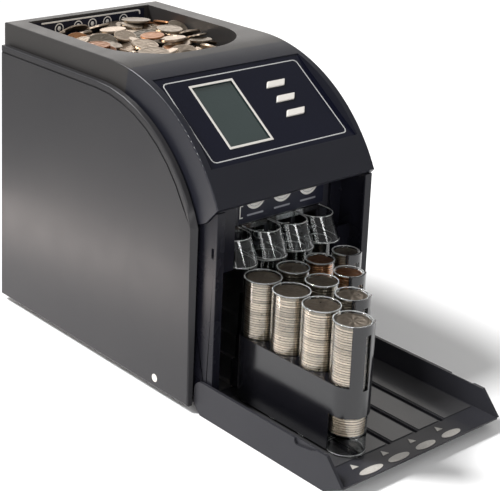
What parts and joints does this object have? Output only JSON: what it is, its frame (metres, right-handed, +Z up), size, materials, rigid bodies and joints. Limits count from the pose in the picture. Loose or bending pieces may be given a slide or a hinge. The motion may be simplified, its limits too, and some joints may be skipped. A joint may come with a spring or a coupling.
{
  "type": "coin sorting machine",
  "caption": "Table-top coin sorter with an open hopper, tilted console, and rows of clear coin tubes that slide out over a folded-down front tray.",
  "frame": {"origin": "on the table, under the middle of the whole machine with its tray down", "axes": "+Z up, the front tray points to -Y, +X is to the right seen from the front"},
  "size_m": [0.167, 0.3918, 0.2347],
  "materials": {
    "case_plastic": "satin dark grey moulded plastic",
    "console_plastic": "satin blue-black moulded plastic",
    "hopper_plastic": "satin dark warm grey moulded plastic",
    "overlay_film": "glossy navy film",
    "bezel_plastic": "satin light grey",
    "display_pane": "dark grey-green display behind a clear pane",
    "button_plastic": "satin off-white",
    "circuit_board": "green board",
    "tray_plastic": "satin black moulded plastic",
    "lane_plastic": "satin dark grey",
    "mark_paint": "printed off-white",
    "pillar_plastic": "satin black moulded plastic",
    "clear_plastic": "clear polycarbonate, clean",
    "plate_plastic": "satin black",
    "label_film": "glossy navy film",
    "sheet_steel": "zinc plated sheet",
    "machined_steel": "turned steel",
    "disc_plastic": "moulded nylon",
    "motor_metal": "dark zinc finish",
    "belt_rubber": "moulded rubber",
    "sensor_plastic": "black",
    "supply_parts": "wound parts on a board",
    "inlet_plastic": "black",
    "rocker_plastic": "gloss black",
    "foot_rubber": "soft rubber",
    "screw_steel": "white finished heads",
    "cradle_plastic": "gloss black moulded plastic",
    "coin_nickel": "worn silver-coloured coins",
    "coin_copper": "worn copper-coloured coins"
  },
  "bodies": {
    "machine": {"base_chassis": "sheet_steel", "case_screws": "screw_steel", "chute_backplate": "plate_plastic", "chute_label": "label_film", "coin_chutes": "clear_plastic", "coin_sensors": "sensor_plastic", "console_cover": "console_plastic", "control_board": "circuit_board", "control_overlay": "overlay_film", "drive_belt": "belt_rubber", "drive_motor": "motor_metal", "front_pillar_left": "pillar_plastic", "front_pillar_right": "pillar_plastic", "front_tray": "tray_plastic", "hinge_pins": "machined_steel", "hopper": "hopper_plastic", "hopper_coins": "coin_nickel", "hopper_label": "label_film", "lane_strips": "lane_plastic", "lcd_bezel": "bezel_plastic", "lcd_glass": "display_pane", "mains_inlet": "inlet_plastic", "power_supply": "supply_parts", "rear_panel": "case_plastic", "rubber_feet": "foot_rubber", "side_panel_left": "case_plastic", "side_panel_right": "case_plastic", "sorting_bed": "sheet_steel", "tray_marks": "mark_paint"},
    "quarter_row": {"coins_quarter": "coin_nickel", "row_cradle_quarter": "cradle_plastic", "tube_quarter_2": "clear_plastic", "tube_quarter_3": "clear_plastic", "tube_quarter_4": "clear_plastic"},
    "quarter_front_tube": {"coins_quarter_front": "coin_nickel", "tube_quarter_1": "clear_plastic"},
    "nickel_row": {"coins_nickel": "coin_nickel", "inner_tubes_nickel": "clear_plastic", "row_cradle_nickel": "cradle_plastic", "tube_nickel_2": "clear_plastic", "tube_nickel_3": "clear_plastic"},
    "nickel_front_tube": {"coins_nickel_front": "coin_nickel", "tube_nickel_1": "clear_plastic"},
    "penny_row": {"coins_penny": "coin_copper", "inner_tubes_penny": "clear_plastic", "row_cradle_penny": "cradle_plastic", "tube_penny_2": "clear_plastic"},
    "penny_front_tube": {"coins_penny_front": "coin_copper", "tube_penny_1": "clear_plastic"},
    "dime_row": {"coins_dime": "coin_nickel", "inner_tubes_dime": "clear_plastic", "row_cradle_dime": "cradle_plastic", "tube_dime_1": "clear_plastic"},
    "button_upper_cap": {"button_upper": "button_plastic"},
    "button_middle_cap": {"button_middle": "button_plastic"},
    "button_lower_cap": {"button_lower": "button_plastic"},
    "turning_disc": {"sorting_disc": "disc_plastic", "disc_shaft": "machined_steel"},
    "motor_rotor": {"motor_pulley": "machined_steel"},
    "rocker": {"rocker_switch": "rocker_plastic"}
  },
  "joints": [
    {"name": "quarter_row_slide", "type": "slide", "parent": "machine", "child": "quarter_row", "axis": [0, -1, 0], "range_m": [-0.114, 0]},
    {"name": "quarter_tube_lift", "type": "slide", "parent": "quarter_row", "child": "quarter_front_tube", "axis": [0, 0, 1], "range_m": [0, 0.095]},
    {"name": "nickel_row_slide", "type": "slide", "parent": "machine", "child": "nickel_row", "axis": [0, -1, 0], "range_m": [-0.0855, 0.0285]},
    {"name": "nickel_tube_lift", "type": "slide", "parent": "nickel_row", "child": "nickel_front_tube", "axis": [0, 0, 1], "range_m": [0, 0.095]},
    {"name": "penny_row_slide", "type": "slide", "parent": "machine", "child": "penny_row", "axis": [0, -1, 0], "range_m": [-0.057, 0.057]},
    {"name": "penny_tube_lift", "type": "slide", "parent": "penny_row", "child": "penny_front_tube", "axis": [0, 0, 1], "range_m": [0, 0.095]},
    {"name": "dime_row_slide", "type": "slide", "parent": "machine", "child": "dime_row", "axis": [0, -1, 0], "range_m": [-0.0285, 0.0855]},
    {"name": "button_upper_press", "type": "slide", "parent": "machine", "child": "button_upper_cap", "axis": [0, 0.5899, -0.8075], "range_m": [0, 0.0008], "stiffness_N_per_m": 300, "springref_m": -0.0006},
    {"name": "button_middle_press", "type": "slide", "parent": "machine", "child": "button_middle_cap", "axis": [0, 0.5899, -0.8075], "range_m": [0, 0.0008], "stiffness_N_per_m": 300, "springref_m": -0.0006},
    {"name": "button_lower_press", "type": "slide", "parent": "machine", "child": "button_lower_cap", "axis": [0, 0.5899, -0.8075], "range_m": [0, 0.0008], "stiffness_N_per_m": 300, "springref_m": -0.0006},
    {"name": "disc_spin", "type": "hinge", "parent": "machine", "child": "turning_disc", "pos_m": [0, 0.08381, 0.15036], "axis": [0, -0.1736, 0.9848], "continuous": true},
    {"name": "motor_spin", "type": "hinge", "parent": "machine", "child": "motor_rotor", "pos_m": [0, 0.15324, 0.1626], "axis": [0, -0.1736, 0.9848], "continuous": true},
    {"name": "rocker_tip", "type": "hinge", "parent": "machine", "child": "rocker", "pos_m": [-0.005, 0.1895, 0.033], "axis": [1, 0, 0], "range_deg": [-10, 0]}
  ],
  "couplings": [
    {"joint": "motor_spin", "follows": "disc_spin", "ratio": 1}
  ]
}
